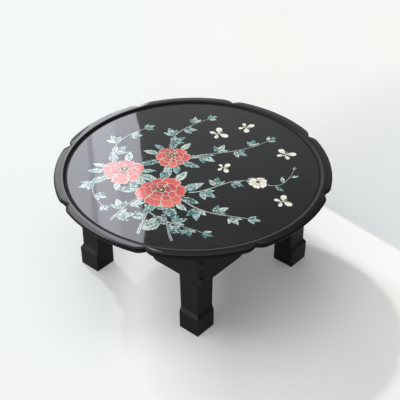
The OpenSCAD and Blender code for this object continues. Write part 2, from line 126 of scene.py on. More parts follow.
class Nodes:
    """A material's or world's node tree, with short calls to add and join nodes."""

    def __init__(self, owner):
        owner.use_nodes = True
        self.tree = owner.node_tree
        self.tree.nodes.clear()

    def add(self, kind, inputs=None, **settings):
        """A new node. Each input is a value, or a socket to join to it."""
        node = self.tree.nodes.new(kind)
        for key, value in settings.items():
            setattr(node, key, value)
        for key, value in (inputs or {}).items():
            if isinstance(value, bpy.types.NodeSocket):
                self.tree.links.new(value, node.inputs[key])
            else:
                node.inputs[key].default_value = value
        return node

    def math(self, op, a, b, clamp=False):
        return self.add("ShaderNodeMath", {0: a, 1: b}, operation=op, use_clamp=clamp).outputs[0]

    def plus(self, a, b, clamp=False):
        return self.math("ADD", a, b, clamp)

    def minus(self, a, b):
        return self.math("SUBTRACT", a, b)

    def times(self, a, b):
        return self.math("MULTIPLY", a, b)

    def swing(self, value, amount):
        """A number from 0 to 1, as one that swings round nought by half the amount."""
        return self.times(self.minus(value, 0.5), amount)

    def unit(self, value):
        """A number from -1 to 1, as one from 0 to 1 for a ramp."""
        return self.plus(self.times(value, 0.5), 0.5)

    def noise(self, vector, scale, detail=3.0, rough=0.55):
        return self.add("ShaderNodeTexNoise", {"Vector": vector, "Scale": scale, "Detail": detail,
                                               "Roughness": rough}).outputs["Fac"]

    def ramp(self, fac, stops, mode="LINEAR"):
        """stops is a list of (position, colour or grey)."""
        node = self.add("ShaderNodeValToRGB", {"Fac": fac})
        ramp = node.color_ramp
        ramp.interpolation = mode
        while len(ramp.elements) < len(stops):
            ramp.elements.new(0.5)
        for element, (place, shade) in zip(ramp.elements, stops):
            element.position = place
            element.color = (*((shade,) * 3 if isinstance(shade, (int, float)) else shade), 1)
        return node.outputs["Color"]

    def mix(self, fac, a, b, blend="MIX"):
        node = self.add("ShaderNodeMix", data_type="RGBA", blend_type=blend)
        # The node's inputs 6 and 7 are its two colours
        for key, value in ((0, fac), (6, a), (7, b)):
            if isinstance(value, bpy.types.NodeSocket):
                self.tree.links.new(value, node.inputs[key])
            else:
                node.inputs[key].default_value = value if key == 0 else (*value, 1)
        return node.outputs[2]

    def product(self, a, b):
        """Two colours multiplied."""
        return self.mix(1.0, a, b, "MULTIPLY")

    def bump(self, height, strength, distance=BUMP_HEIGHT):
        return self.add("ShaderNodeBump", {"Height": height, "Strength": strength,
                                           "Distance": distance}).outputs["Normal"]

    def stretched(self, vector, scale):
        """A place with a factor along each axis, for patterns that run one way."""
        return self.add("ShaderNodeMapping", {"Vector": vector, "Scale": scale}).outputs[0]

    def turned(self, vector):
        """Across (to the right), away and up, as the photograph sees them."""
        turned = self.add("ShaderNodeVectorRotate", {"Vector": vector, "Angle": radians(VIEW_TURN)},
                          rotation_type="Z_AXIS")
        return self.add("ShaderNodeSeparateXYZ", {0: turned.outputs[0]}).outputs


def material(name, place="Object"):
    """A new material, its nodes, and the place on the piece for its patterns."""
    mat = bpy.data.materials.new(name)
    nodes = Nodes(mat)
    return mat, nodes, nodes.add("ShaderNodeTexCoord").outputs[place]


def surface(nodes, **inputs):
    """The finished shader: a Principled BSDF whose inputs are given by their names."""
    names = {"color": "Base Color", "rough": "Roughness", "metal": "Metallic", "ior": "IOR",
             "specular": "Specular IOR Level", "normal": "Normal", "coat": "Coat Weight",
             "coat_rough": "Coat Roughness", "coat_normal": "Coat Normal", "sheen": "Sheen Weight",
             "sheen_rough": "Sheen Roughness"}
    shader = nodes.add("ShaderNodeBsdfPrincipled", {names[k]: v for k, v in inputs.items()})
    nodes.add("ShaderNodeOutputMaterial", {"Surface": shader.outputs[0]})


def scaled(shade, factor):
    """A colour made lighter or darker."""
    return tuple(factor * c for c in shade)


def lacquer(name, shade, rough, wave, grain=0.0, gloss=0.5, ior=1.5):
    """Black lacquer: a deep base that is a touch lighter in places, fine rubbing marks in the
    gloss, and a faint slow wave in the surface. rough is its least and greatest roughness, and
    grain lets the wood show through."""
    mat, n, place = material(name)
    cloud = n.noise(place, CLOUDS, 4.0)
    fine = n.noise(place, FINE_RUBBING, 2.0)
    color = n.ramp(cloud, [(0.3, scaled(shade, 0.8)), (0.7, scaled(shade, 1.25))])
    marks = n.plus(n.times(n.noise(place, RUBBING, 5.0), 0.75), n.times(fine, 0.25))
    dull = n.ramp(marks, [(0.35, rough[0]), (0.68, rough[1])])
    height = n.times(n.noise(place, SLOW_WAVES, 1.0), wave)
    if grain:
        lines = n.noise(n.stretched(place, GRAIN), GRAIN_SCALE, 4.0, 0.7)
        height = n.plus(height, n.times(lines, grain))
        color = n.mix(n.ramp(lines, [(0.4, 0.0), (0.75, 0.5)]), color, scaled(shade, 2.0))
    surface(n, color=color, rough=dull, specular=gloss, ior=ior, normal=n.bump(height, 1.0))
    return mat


def shell(name, stops, chips, vein, fleck=0.0):
    """Shell under clear lacquer. The mesh gives each point a tone, which picks a place in the
    colours. chips moves it for the small slips of shell, vein darkens the lines between them,
    and fleck is the share of pale slips that catch the light."""
    mat, n, place = material(name)
    given = n.add("ShaderNodeAttribute", attribute_name="tone").outputs["Fac"]
    slips = {"Vector": place, "Scale": SLIPS, "Randomness": 1.0}
    cells = n.add("ShaderNodeTexVoronoi", slips, feature="F1").outputs
    picks = n.add("ShaderNodeSeparateColor", {0: cells["Color"]}).outputs
    drift = n.noise(place, DRIFT, 3.0)
    tone = n.plus(given, n.swing(picks[0], chips))
    tone = n.plus(tone, n.swing(drift, 0.8 * chips), clamp=True)
    color = n.ramp(tone, stops)
    if fleck:
        bright = n.times(n.math("LESS_THAN", picks[1], fleck), 0.75)
        color = n.mix(bright, color, stops[-1][1])
    seams = n.add("ShaderNodeTexVoronoi", slips, feature="DISTANCE_TO_EDGE").outputs["Distance"]
    line = n.ramp(seams, [(0.02, 1.0), (0.10, 0.0)])
    color = n.mix(n.times(line, vein), color, (0.012, 0.02, 0.02))
    fibre = n.noise(n.stretched(place, FIBRE_STRETCH), FIBRES)
    color = n.mix(n.times(fibre, 0.35 * vein), color, (0.02, 0.03, 0.03))
    height = n.plus(n.times(picks[0], 0.04), n.times(fibre, 0.03))
    surface(n, color=color, rough=0.35, specular=0.2, normal=n.bump(height, 1.0),
            coat=1.0, coat_rough=0.05, coat_normal=n.bump(n.noise(place, SLOW_WAVES, 1.0), 0.12))
    return mat


def metal(name, shade, rough):
    """Brushed metal with a few dull spots. rough is its least and greatest roughness."""
    mat, n, place = material(name)
    lines = n.noise(n.stretched(place, BRUSHED), BRUSHED_SCALE, 4.0, 0.65)
    spots = n.noise(place, SPOTS, 5.0)
    color = n.mix(n.ramp(spots, [(0.5, 0.0), (0.78, 0.55)]), shade, scaled(shade, 0.45))
    marks = n.plus(n.times(lines, 0.6), n.times(spots, 0.4))
    dull = n.ramp(marks, [(0.3, rough[0]), (0.7, rough[1])])
    surface(n, color=color, metal=1.0, rough=dull, normal=n.bump(lines, 0.35, 0.0004))
    return mat


def felt(name, shade):
    """Matt felt, with painted shade between its hairs: darker where the hairs' bump is low."""
    mat, n, place = material(name)
    fuzz = n.noise(place, FUZZ, 3.0, 0.7)
    # Painted shade: the colour is darker where the fuzz, which also makes the bump, is low
    color = n.mix(fuzz, scaled(shade, 0.5), scaled(shade, 1.7))
    surface(n, color=color, rough=0.95, sheen=0.5, sheen_rough=0.5,
            normal=n.bump(fuzz, 0.8, 0.0006))
    return mat


# The record's slots, and a dull lacquer whose darker colour paints shade on the rim's lower edge
# and the undersides
MATS = {
    "lacquer_field": lacquer("lacquer_field", (0.011, 0.011, 0.012), rough=(0.02, 0.06), wave=0.05),
    "lacquer_rim": lacquer("lacquer_rim", (0.007, 0.007, 0.008), rough=(0.03, 0.08), wave=0.06,
                           ior=1.42),
    # Painted shade: dull as unpolished lacquer, and a darker black so the lower edges look as if in
    # shadow
    "lacquer_under": lacquer("lacquer_under", (0.0032, 0.0031, 0.0032), rough=(0.35, 0.5),
                             wave=0.08, grain=0.03, gloss=0.08),
    "lacquer_base": lacquer("lacquer_base", (0.0070, 0.0067, 0.0069), rough=(0.12, 0.22),
                            wave=0.06, grain=0.012, ior=1.15),
    "lacquer_inner": lacquer("lacquer_inner", (0.030, 0.024, 0.020), rough=(0.45, 0.65),
                             wave=0.1, grain=0.12, gloss=0.3),
    "felt": felt("felt", (0.04, 0.04, 0.042)),
    "steel": metal("steel", (0.56, 0.57, 0.58), rough=(0.22, 0.45)),
    "brass": metal("brass", (0.70, 0.52, 0.24), rough=(0.2, 0.4)),
    "shell_coral": shell("shell_coral", [
        (0.0, (0.50, 0.020, 0.025)), (0.5, (0.76, 0.050, 0.050)), (1.0, (0.88, 0.17, 0.13))
    ], chips=0.3, vein=0.25),
    "shell_crimson": shell("shell_crimson", [
        (0.0, (0.30, 0.010, 0.018)), (0.5, (0.50, 0.018, 0.030)), (1.0, (0.66, 0.05, 0.05))
    ], chips=0.3, vein=0.25),
    "shell_gold": shell("shell_gold", [
        (0.0, (0.62, 0.38, 0.10)), (1.0, (0.92, 0.76, 0.42))
    ], chips=0.5, vein=0.1),
    "shell_pearl": shell("shell_pearl", [
        (0.0, (0.020, 0.10, 0.11)), (0.2, (0.06, 0.27, 0.26)), (0.38, (0.20, 0.52, 0.43)),
        (0.52, (0.07, 0.26, 0.36)), (0.66, (0.38, 0.64, 0.53)), (0.8, (0.24, 0.36, 0.50)),
        (1.0, (0.76, 0.86, 0.76))
    ], chips=0.8, vein=0.6, fleck=0.26),
    "shell_stem": shell("shell_stem", [
        (0.0, (0.22, 0.28, 0.25)), (0.5, (0.42, 0.46, 0.42)), (1.0, (0.66, 0.66, 0.60))
    ], chips=0.6, vein=0.45, fleck=0.2),
    "shell_cream": shell("shell_cream", [
        (0.0, (0.66, 0.60, 0.38)), (0.5, (0.86, 0.82, 0.64)), (1.0, (0.94, 0.92, 0.84))
    ], chips=0.4, vein=0.15),
}


def add_mesh(name, verts, faces, slot, stands_for, smooth=True, tones=None):
    """A new piece of the table, from vertices in millimetres."""
    mesh = bpy.data.meshes.new(name)
    mesh.from_pydata([tuple(MM * c for c in v) for v in verts], [], faces)
    mesh.validate()
    if tones:
        mesh.attributes.new("tone", "FLOAT", "POINT").data.foreach_set("value", tones)
    mesh.polygons.foreach_set("use_smooth", [smooth] * len(mesh.polygons))
    piece = add_object(name, mesh)
    finish_piece(piece, slot, "table", stands_for)
    return piece


def finish_piece(piece, slot, body, stands_for):
    """Gives a piece its material slot and body, in place of the CAD nodes that it stands for."""
    piece.data.materials.clear()
    piece.data.materials.append(MATS[slot])
    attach(piece, body)
    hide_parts(*stands_for)


def dull_and_painted_shade_faces(piece, height, radius=0.0):
    """Faces below the height and outside the radius get the dull lacquer, whose darker colour is
    painted shade.
    """
    piece.data.materials.append(MATS["lacquer_under"])
    for face in piece.data.polygons:
        middle = face.center
        if middle.z < MM * height and middle.xy.length > MM * radius:
            face.material_index = 1


def ring_mesh(rows):
    """Quads between rows of points, each row a closed section, the rows closed round the table."""
    verts = [p for row in rows for p in row]
    count, width = len(rows), len(rows[0])
    faces = []
    for i in range(count):
        for j in range(width):
            a, b = i * width, (i + 1) % count * width
            faces.append((a + j, b + j, b + (j + 1) % width, a + (j + 1) % width))
    return verts, faces


def mark_sharp(piece, angle):
    """Edges of more degrees than angle are shaded sharp."""
    piece.data.set_sharp_from_angle(angle=radians(angle))


def rim_r(s):
    """Radius of the rim's edge at s millimetres from the nearest notch."""
    return TOP_R - NOTCH_D * max(0.0, 1 - s / NOTCH_L) ** 2


def rim_angles():
    """(angle, radius) round the rim, closer together near the notches."""
    lobe = 360 / LOBES
    out = []
    for k in range(LOBES):
        for i in range(RIM_STEPS):
            a = lobe * (0.5 - 0.5 * cd(180 * i / RIM_STEPS))
            out.append((lobe * (k + 0.5) + a, rim_r(pi * TOP_R / 180 * min(a, lobe - a))))
    return out


def around(section):
    """Rows of a section, which is a function of the rim's radius, all round the table."""
    return [[(q[0] * cd(a), q[0] * sd(a), q[1]) for q in section(r)] for a, r in rim_angles()]


def rim_section(r):
    """(radius, height) from the wall's foot, over the crown and the rounded edge, to the seat."""
    flat_r = WALL_R + FLAT_W
    crown_w, edge_z = r - EDGE_R - flat_r, RIM_Z - CROWN_H
    lip_z = edge_z - EDGE_R
    cove_w, cove_h = UNDER_W - UNDER_EDGE, lip_z - UNDER_EDGE - UNDER_Z
    wall = [(FIELD_R + WALL_W * sd(9 * i), FIELD_Z + RECESS * (1 - cd(9 * i))) for i in range(10)]
    # The wall's last point gives way to a small rounding
    wall[-1:] = [(WALL_R - 0.1, RIM_Z - 0.6), (WALL_R + 0.15, RIM_Z - 0.2), (WALL_R + 0.6, RIM_Z)]
    crown = [(flat_r + crown_w * i / 8, RIM_Z - CROWN_H * (i / 8) ** 2) for i in range(9)]
    edge = [(r - EDGE_R * (1 - sd(9 * i)), edge_z - EDGE_R * (1 - cd(9 * i))) for i in range(1, 11)]
    lip = [(r - UNDER_EDGE * (1 - cd(15 * i)), lip_z - UNDER_EDGE * sd(15 * i))
           for i in range(1, 7)]
    cove = [(r - UNDER_EDGE - cove_w * sd(15 * i), UNDER_Z + cove_h * cd(15 * i))
            for i in range(1, 7)]
    seat = [(WALL_R, UNDER_Z), (WALL_R, TONGUE_Z), (FIELD_R, TONGUE_Z)]
    return wall + crown + edge + lip + cove + seat


def ring_section(r):
    """(radius, height) round the ring under the rim."""
    outer, low = r - RING_BACK, UNDER_Z - RING_T
    top = [(RING_IN, UNDER_Z), (outer - 0.4, UNDER_Z), (outer, UNDER_Z - 0.4)]
    edge = [(outer - RING_EDGE * (1 - cd(18 * i)), low + RING_EDGE - RING_EDGE * sd(18 * i))
            for i in range(6)]
    return top + edge + [(RING_IN + 1 - sd(30 * i), low + 1 - cd(30 * i)) for i in range(4)]


def build_rim():
    """The lobed rim, dull and darker below its crown, and the ring under it, dull and darker all
    over: the darkness is painted shade.
    """
    rim = add_mesh("rim", *ring_mesh(around(rim_section)), "lacquer_rim",
                   stands_for=("rim_molding",))
    mark_sharp(rim, 50)
    # Painted shade: the rim's rounded edge below the crown is dull and darker
    dull_and_painted_shade_faces(rim, RIM_Z - 1.05, RING_IN)
    ring = add_mesh("ring", *ring_mesh(around(ring_section)), "lacquer_rim",
                    stands_for=("under_ring",))
    mark_sharp(ring, 50)
    # Painted shade: all the ring is dull and darker
    dull_and_painted_shade_faces(ring, UNDER_Z + 1)


def build_panel():
    """Lathed disc with its tongue; the shell lies level with its top."""
    top, seat = FIELD_R - PANEL_GAP, WALL_R - PANEL_GAP
    section = [(top - 0.4, FIELD_Z), (top, FIELD_Z - 0.4), (top, TONGUE_Z), (seat, TONGUE_Z),
               (seat, UNDER_Z)]
    steps = PANEL_STEPS
    verts = [(r * cd(360 * i / steps), r * sd(360 * i / steps), z)
             for r, z in section for i in range(steps)]
    faces = []
    for a in range(0, steps * (len(section) - 1), steps):
        b = a + steps
        faces += [(a + i, b + i, b + (i + 1) % steps, a + (i + 1) % steps) for i in range(steps)]
    faces.append(tuple(range(steps)))
    faces.append(tuple(reversed(range((len(section) - 1) * steps, len(section) * steps))))
    panel = add_mesh("panel", verts, faces, "lacquer_field", stands_for=("field_panel",))
    mark_sharp(panel, 30)
    # Painted shade: below its tongue the panel gets the dull, darker lacquer
    dull_and_painted_shade_faces(panel, TONGUE_Z - 1)


# The inlaid picture, in millimetres on the field
# The same lists as in the solids. A blossom is (x, y, radius, turn, direction its heart leans)
BLOSSOMS = ((-66, -84, 58, 10, 100), (-152, -4, 49, 35, 70), (-46, 48, 42, 0, 95))
PLUM = (138, -52, 22, 15, 90)
# Rings of petals: inner radius, outer radius, count, turn
OUTER_RING, MIDDLE_RING = (0.55, 1.00, 8, 0), (0.30, 0.67, 7, 20)
INNER_RING, PLUM_RING = (0.17, 0.42, 5, 8), (0.22, 1.0, 6, 0)
# Leaves round each blossom: count, direction of the first, length
COLLARS = ((11, 15, 44), (10, 40, 40), (9, 5, 36))
# Stems: control points, fans before the last, length of the first leaf, leaves in a fan, width
STEMS = (
    (((-170, -176), (-152, -150), (-140, -120), (-118, -104)), 3, 44, 3, 1.9),
    (((-112, -222), (-108, -192), (-100, -176), (-92, -140)), 2, 42, 3, 2.2),
    (((-44, -246), (-56, -208), (-52, -178), (-64, -142)), 2, 40, 3, 1.8),
    (((-92, -150), (-60, -190), (-24, -196), (18, -222)), 3, 42, 3, 1.4),
    (((-16, -118), (24, -166), (66, -162), (112, -178)), 3, 44, 3, 1.2),
    (((-10, -84), (40, -84), (66, -36), (116, -44)), 3, 42, 3, 1.2),
    (((-6, 50), (46, 66), (110, 60), (172, 112)), 4, 42, 3, 1.3),
    (((-48, 90), (-56, 132), (-18, 176), (40, 206)), 4, 40, 3, 1.1),
    (((-172, 42), (-190, 92), (-158, 140), (-106, 168)), 3, 42, 3, 1.1),
    (((-200, -22), (-222, -58), (-214, -92), (-188, -128)), 2, 38, 3, 1.0),
    (((158, -60), (188, -74), (206, -40), (218, -6)), 3, 26, 1, 0.8))
# Moths: x, y, span, turn. Wings: root, direction, fan and length, as shares of the span
MOTHS = ((58, 142, 44, 25), (122, 168, 38, -30), (204, 54, 42, 60), (66, 6, 34, -10),
         (184, -120, 40, 20))
WINGS = (((0.05, 0.045), 58, 38, 0.52), ((-0.06, 0.045), 130, 34, 0.38))
STEM_W, SPLIT_STEM, GAP = 3.0, 1.5, 0.7
STEM_STEPS, EDGE_STEPS, SAME_POINT = 24, 12, 1e-4
HALF_GAP = 35  # degrees that half a gap takes up at a radius as long as the gap, with some to spare
# The slot and first tone of each ring, and the pieces that the shell of each slot makes
BLOSSOM_RINGS = ((OUTER_RING, "shell_coral", 0.35), (MIDDLE_RING, "shell_coral", 0.1),
                 (INNER_RING, "shell_crimson", 0.3))
PLUM_RINGS = ((PLUM_RING, "shell_cream", 0.5),)
INLAY_PIECES = {"shell_pearl": ("leaves", ("inlay_leaves",)),
                "shell_stem": ("stems", ("inlay_stems",)),
                "shell_coral": ("petals", ("inlay_petals",)),
                "shell_crimson": ("inner_petals", ("inlay_inner_petals",)),
                "shell_gold": ("hearts", ("inlay_hearts",)),
                "shell_cream": ("pale_shell", ("inlay_wings", "inlay_plum"))}


def warp(b, share, a):
    """Point of a blossom at a share of its radius, drawn a little out of round."""
    turn = a + 11 * sd(2 * a + b[0])
    r = b[2] * share * (0.93 + 0.07 * sd(3 * a + b[1]))
    lean = 0.22 * b[2] * (1 - share)
    return Vector((b[0] + r * cd(turn) + lean * cd(b[4]), b[1] + r * sd(turn) + lean * sd(b[4])))


def petal_edge(u):
    """Reach of a petal's scalloped edge at u, from -1 to 1 across it."""
    return 1 - 0.14 * u ** 4 - 0.032 * (1 - cd(540 * u))


def ring_mid(b, ring, i):
    """Direction of the middle of a ring's petal."""
    return b[3] + ring[3] + 360 * i / ring[2]


def outer_edge(b, ring, i, gap, grow):
    """Outer edge of a petal, half the gap short of its neighbours and grow beyond its reach."""
    steps, mid = EDGE_STEPS, ring_mid(b, ring, i)
    side = 180 / ring[2] - HALF_GAP * gap / (ring[1] * b[2])
    return [warp(b, ring[1] * petal_edge(j / steps) + grow / b[2], mid + side * j / steps)
            for j in range(-steps, steps + 1)]


def petal(b, ring, i, inset=0.0):
    """Outline of one petal, drawn in by inset on every side."""
    gap, mid = GAP + 2 * inset, ring_mid(b, ring, i)
    side = 180 / ring[2] - HALF_GAP * gap / (ring[0] * b[2])
    inner = [warp(b, ring[0] + inset / b[2], mid + side * j / 3) for j in range(3, -4, -1)]
    return outer_edge(b, ring, i, gap, -inset) + inner


def ring_ground(b, ring):
    """Outline of the lacquer under a ring of petals."""
    return [p for i in range(ring[2]) for p in outer_edge(b, ring, i, 0, GAP)]


def bezier(p, t):
    """Point at t of the curve with the four control points p."""
    w = ((1 - t) ** 3, 3 * (1 - t) ** 2 * t, 3 * (1 - t) * t * t, t ** 3)
    return Vector([sum(c * q[k] for c, q in zip(w, p)) for k in (0, 1)])


def bezier_dir(p, t):
    """Direction of the curve at t, in degrees."""
    d = bezier(p, t + 0.01) - bezier(p, t - 0.01)
    return degrees(atan2(d[1], d[0]))


def placed(points, at, turn):
    """Points turned and moved to their place in the picture."""
    c, s = cd(turn), sd(turn)
    return [Vector((at[0] + c * x - s * y, at[1] + s * x + c * y)) for x, y in points]


def leaf_half(t):
    """Half the width of a leaf at t along it, as a share of its length."""
    return 0.215 * sd(180 * t ** 0.8)


def leaf_outline(l, grow=0.0):
    """Leaf along +X: two bows with a saw edge of nine teeth a side."""
    side = []
    for i in range(19):
        t = i / 18
        tooth = 0.016 if i % 2 == 1 and i < 17 else 0.0
        side.append((l * t + grow * (2 * t - 1) * 1.5, l * (leaf_half(t) + tooth) + grow))
    return side + [(x, -y) for x, y in reversed(side[1:-1])]


def leaf_veins(l):
    """Dark lines cut in a leaf: the midrib, which tapers to the tip, and four pairs of veins."""
    lines = [[(0.02 * l, -0.014 * l), (0.9 * l, -0.003 * l),
              (0.9 * l, 0.003 * l), (0.02 * l, 0.014 * l)]]
    for t in (0.16, 0.33, 0.5, 0.66):
        reach = 0.82 * leaf_half(t + 0.1)
        for s in (1, -1):
            lines.append([(l * t, 0), (l * (t + 0.17), s * l * reach), (l * (t + 0.035), 0)])
    return lines


def all_leaves():
    """(root, direction, length) of each leaf, as in the solids."""
    for p, fans, length, count, _ in STEMS:
        for i in range(fans + 1):
            t = min((i + 0.6) / (fans + 0.6), 0.97)
            turn = bezier_dir(p, t) + (0 if i == fans else i % 2 * 2 - 1) * 50
            root = bezier(p, t) + STEM_W * Vector((cd(turn), sd(turn)))
            for side, share in ((0, 1), (1, 0.78), (-1, 0.78))[:count]:
                yield root, turn + 40 * side, length * (1 - 0.4 * t) * share
    for b, (count, first, length) in zip(BLOSSOMS, COLLARS):
        for i in range(1, count + 1):
            a = first + 360 * i / count
            yield warp(b, 0.86, a), a + 14 * sd(140 * i), length * (1 + 0.2 * (i % 3 - 1))


def stem_outline(p, width, grow):
    """A stem along its curve, which narrows to its tip."""
    steps = STEM_STEPS
    path = [(bezier(p, i / steps), bezier_dir(p, i / steps) + 90,
             width * STEM_W * (1 - 0.6 * i / steps) / 2 + grow) for i in range(steps + 1)]
    return ([q + r * Vector((cd(a), sd(a))) for q, a, r in path]
            + [q - r * Vector((cd(a), sd(a))) for q, a, r in reversed(path)])


def circle(at, r, count):
    """A circle of radius r round a point."""
    return [at + r * Vector((cd(360 * i / count), sd(360 * i / count))) for i in range(count)]


def wing(root, turn, fan, l):
    """Wing of length l that fans out from its root, with a smooth tip."""
    reach = [(l * cd(9 * i) ** 0.45, turn + fan * i / 10) for i in range(-9, 10)]
    return [root] + [(root[0] + r * cd(a), root[1] + r * sd(a)) for r, a in reach]


class Picture:
    """Layers of flat outlines. A later one covers the earlier ones, as shell is fitted to shell,
    and a bare outline is a line of lacquer between two pieces."""

    def __init__(self):
        self.outlines, self.owners = [], []

    def put(self, outline, slot=None, tone=None):
        """tone gives the tone at a point."""
        points = [Vector(p) for p in outline]
        area = sum(a.cross(b) for a, b in zip(points, points[1:] + points[:1]))
        self.outlines.append(points if area > 0 else points[::-1])
        self.owners.append((slot, tone))

    def visible(self, number, boxes):
        """Points and triangles of what the later outlines leave of one outline."""
        low, high = boxes[number]
        points, loops = [], []
        for k in range(number, len(self.outlines)):
            (x0, y0), (x1, y1) = boxes[k]
            if x0 <= high[0] and x1 >= low[0] and y0 <= high[1] and y1 >= low[1]:
                loops.append(list(range(len(points), len(points) + len(self.outlines[k]))))
                points.extend(self.outlines[k])
        verts, _, faces, _, _, inside = delaunay_2d_cdt(points, [], loops, 0, SAME_POINT)
        return verts, [face for face, owners in zip(faces, inside) if list(owners) == [0]]

    def parts(self):
        """{slot: (verts, faces, tones)} of thin closed solids, level with the field."""
        boxes = [((min(p[0] for p in o), min(p[1] for p in o)),
                  (max(p[0] for p in o), max(p[1] for p in o))) for o in self.outlines]
        turn = Matrix.Rotation(ART_TURN, 2)
        out = {}
        for number, (slot, tone) in enumerate(self.owners):
            if not slot:
                continue
            verts, shares = self.visible(number, boxes)
            all_verts, all_faces, all_tones = out.setdefault(slot, ([], [], []))
            used = sorted({v for face in shares for v in face})
            place = {v: i for i, v in enumerate(used)}
            base, down = len(all_verts), len(used)
            for z in (FIELD_Z + INLAY_RISE, FIELD_Z - INLAY_T):
                for v in used:
                    p = turn @ verts[v]
                    all_verts.append((p[0], p[1], z))
                    all_tones.append(tone(verts[v]))
            loops = [[base + place[v] for v in face] for face in shares]
            borders = set()
            for loop in loops:
                all_faces.append(tuple(loop))
                all_faces.append(tuple(down + v for v in reversed(loop)))
                borders ^= {frozenset(edge) for edge in zip(loop, loop[1:] + loop[:1])}
            for loop in loops:
                all_faces += [(b, a, down + a, down + b) for a, b in zip(loop, loop[1:] + loop[:1])
                              if frozenset((a, b)) in borders]
        return out


def leaf_tone(root, turn, l, tone):
    """A leaf is paler towards its tip and darker towards its sides."""
    c, s = cd(turn), sd(turn)

    def at(p):
        x, y = p[0] - root[0], p[1] - root[1]
        along, across = (c * x + s * y) / l, (c * y - s * x) / l
        return tone + 0.10 * along - 0.25 * abs(across)
    return at


def petal_tone(b, ring, tone):
    """A petal is paler towards its outer edge."""
    centre = warp(b, 0, 0)
    return lambda p: tone + 0.55 * ((p - centre).length / b[2] - ring[0]) / (ring[1] - ring[0])


def flat_tone(tone):
    """The same tone all over."""
    return lambda p: tone


def add_leaf(picture, number, root, turn, l):
    """A leaf with its veins, on a ground of lacquer a little larger than itself."""
    picture.put(placed(leaf_outline(l, 0.5), root, turn))
    tone = leaf_tone(root, turn, l, 0.5 + 0.5 * sd(137.5 * number))
    picture.put(placed(leaf_outline(l), root, turn), "shell_pearl", tone)
    for line in leaf_veins(l):
        picture.put(placed(line, root, turn))


def add_stem(picture, number, p, width):
    """A thick stem has a line of lacquer along its middle."""
    picture.put(stem_outline(p, width, GAP))
    picture.put(stem_outline(p, width, 0), "shell_stem", flat_tone(0.4 + 0.3 * sd(100 * number)))
    if width > SPLIT_STEM:
        picture.put(stem_outline(p, 0.16 * width, 0))


def add_petal(picture, b, ring, i, slot, tone):
    """A petal with a cream edge and three lines of lacquer."""
    picture.put(petal(b, ring, i), "shell_cream", flat_tone(0.45 + 0.2 * sd(97 * i)))
    picture.put(petal(b, ring, i, 0.9), slot, petal_tone(b, ring, tone + 0.16 * sd(137 * i + b[0])))
    mid = ring_mid(b, ring, i)
    for k in (-0.45, 0.0, 0.45):
        side = 180 / ring[2] * k
        low, high = ring[0] + 0.25 * (ring[1] - ring[0]), ring[1] * (0.86 if k else 0.9)
        root, tip = warp(b, low, mid + side * 0.8), warp(b, high, mid + side)
        across = (tip - root).orthogonal().normalized() * 0.22
        picture.put([root + across, tip, root - across])


def add_blossom(picture, b, rings):
    """Rings of petals round a golden heart with seven dots."""
    for ring, slot, tone in rings:
        picture.put(ring_ground(b, ring))
        for i in range(ring[2]):
            add_petal(picture, b, ring, i, slot, tone)
    heart = Vector((b[0] + 0.19 * b[2] * cd(b[4]), b[1] + 0.19 * b[2] * sd(b[4])))
    picture.put(circle(heart, 0.045 * b[2], 24), "shell_gold", flat_tone(0.7))
    for i in range(1, 8):
        way = b[3] + 360 * i / 7
        dot = heart + 0.085 * b[2] * Vector((cd(way), sd(way)))
        picture.put(circle(dot, 0.018 * b[2], 12), "shell_gold", flat_tone(0.4 + 0.4 * (i % 2)))


def add_moth(picture, x, y, span, turn):
    """Two pairs of veined wings, a body and two feelers."""
    for m in (1, -1):
        for root, way, fan, l in WINGS:
            root = (span * root[0], span * root[1])
            outline = [(p[0], m * p[1]) for p in wing(root, way, fan, l * span)]
            picture.put(placed(outline, (x, y), turn), "shell_cream", flat_tone(0.9))
            for k in (-0.4, 0.1, 0.6):
                a = way + fan * k
                tip = (root[0] + 0.72 * l * span * cd(a), m * (root[1] + 0.72 * l * span * sd(a)))
                low = (root[0] + 0.25 * l * span * cd(a), m * (root[1] + 0.25 * l * span * sd(a)))
                side = (0.007 * span * sd(a), 0.007 * span * cd(a) * m)
                vein = [(low[0] + side[0], low[1] - side[1]), tip,
                        (low[0] - side[0], low[1] + side[1])]
                picture.put(placed(vein, (x, y), turn))
    body = [(0.22 * span * cd(20 * i), 0.026 * span * sd(20 * i)) for i in range(18)]
    picture.put(placed(body, (x, y), turn), "shell_cream", flat_tone(0.3))
    for m in (1, -1):
        feeler = [(0.2 * span, 0.01 * span * m), (0.33 * span, 0.1 * span * m),
                  (0.335 * span, 0.115 * span * m), (0.2 * span, 0.025 * span * m)]
        picture.put(placed(feeler, (x, y), turn), "shell_cream", flat_tone(0.5))


def build_inlay():
    """Stems lie over leaves, and blossoms and moths over stems."""
    picture = Picture()
    for number, leaf in enumerate(all_leaves()):
        add_leaf(picture, number, *leaf)
    for number, (p, _, _, _, width) in enumerate(STEMS):
        add_stem(picture, number, p, width)
    for b in BLOSSOMS:
        add_blossom(picture, b, BLOSSOM_RINGS)
    add_blossom(picture, PLUM, PLUM_RINGS)
    for moth in MOTHS:
        add_moth(picture, *moth)
    for slot, (verts, faces, tones) in picture.parts().items():
        name, nodes = INLAY_PIECES[slot]
        add_mesh("inlay_skin_" + name, verts, faces, slot, stands_for=nodes,
                 smooth=False, tones=tones)


